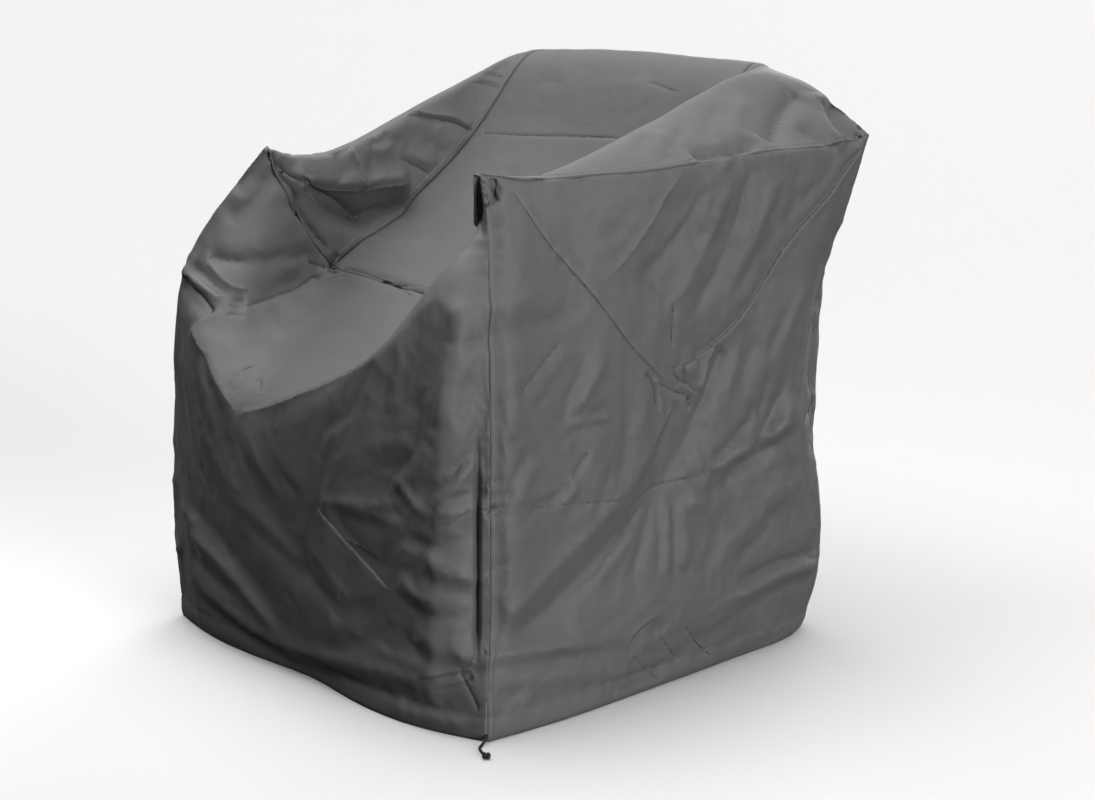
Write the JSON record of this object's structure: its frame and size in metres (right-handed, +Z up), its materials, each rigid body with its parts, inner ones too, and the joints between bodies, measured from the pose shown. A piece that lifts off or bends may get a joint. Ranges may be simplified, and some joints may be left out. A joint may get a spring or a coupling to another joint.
{
  "type": "outdoor sofa cover",
  "caption": "Fitted woven cover hanging over a single outdoor sofa or armchair: sewn panels, low seat, high back, peaks over the arms and a drawcord in the hem.",
  "frame": {"origin": "on the ground at the middle of the cover", "axes": "+Z up, -Y towards the front of the chair, +X to the right as seen from the front"},
  "size_m": [0.8566, 0.8345, 0.9147],
  "materials": {
    "cover_cloth": "plain-woven coated polyester, dark grey, faint sheen",
    "cord": "braided round cord, near black, matte"
  },
  "bodies": {
    "root": {"front_panel": "cover_cloth", "back_strip": "cover_cloth", "left_wing": "cover_cloth", "right_wing": "cover_cloth", "left_side_panel": "cover_cloth", "right_side_panel": "cover_cloth", "rear_panel": "cover_cloth", "drawcord": "cord", "drawcord_knot": "cord"}
  },
  "joints": []
}
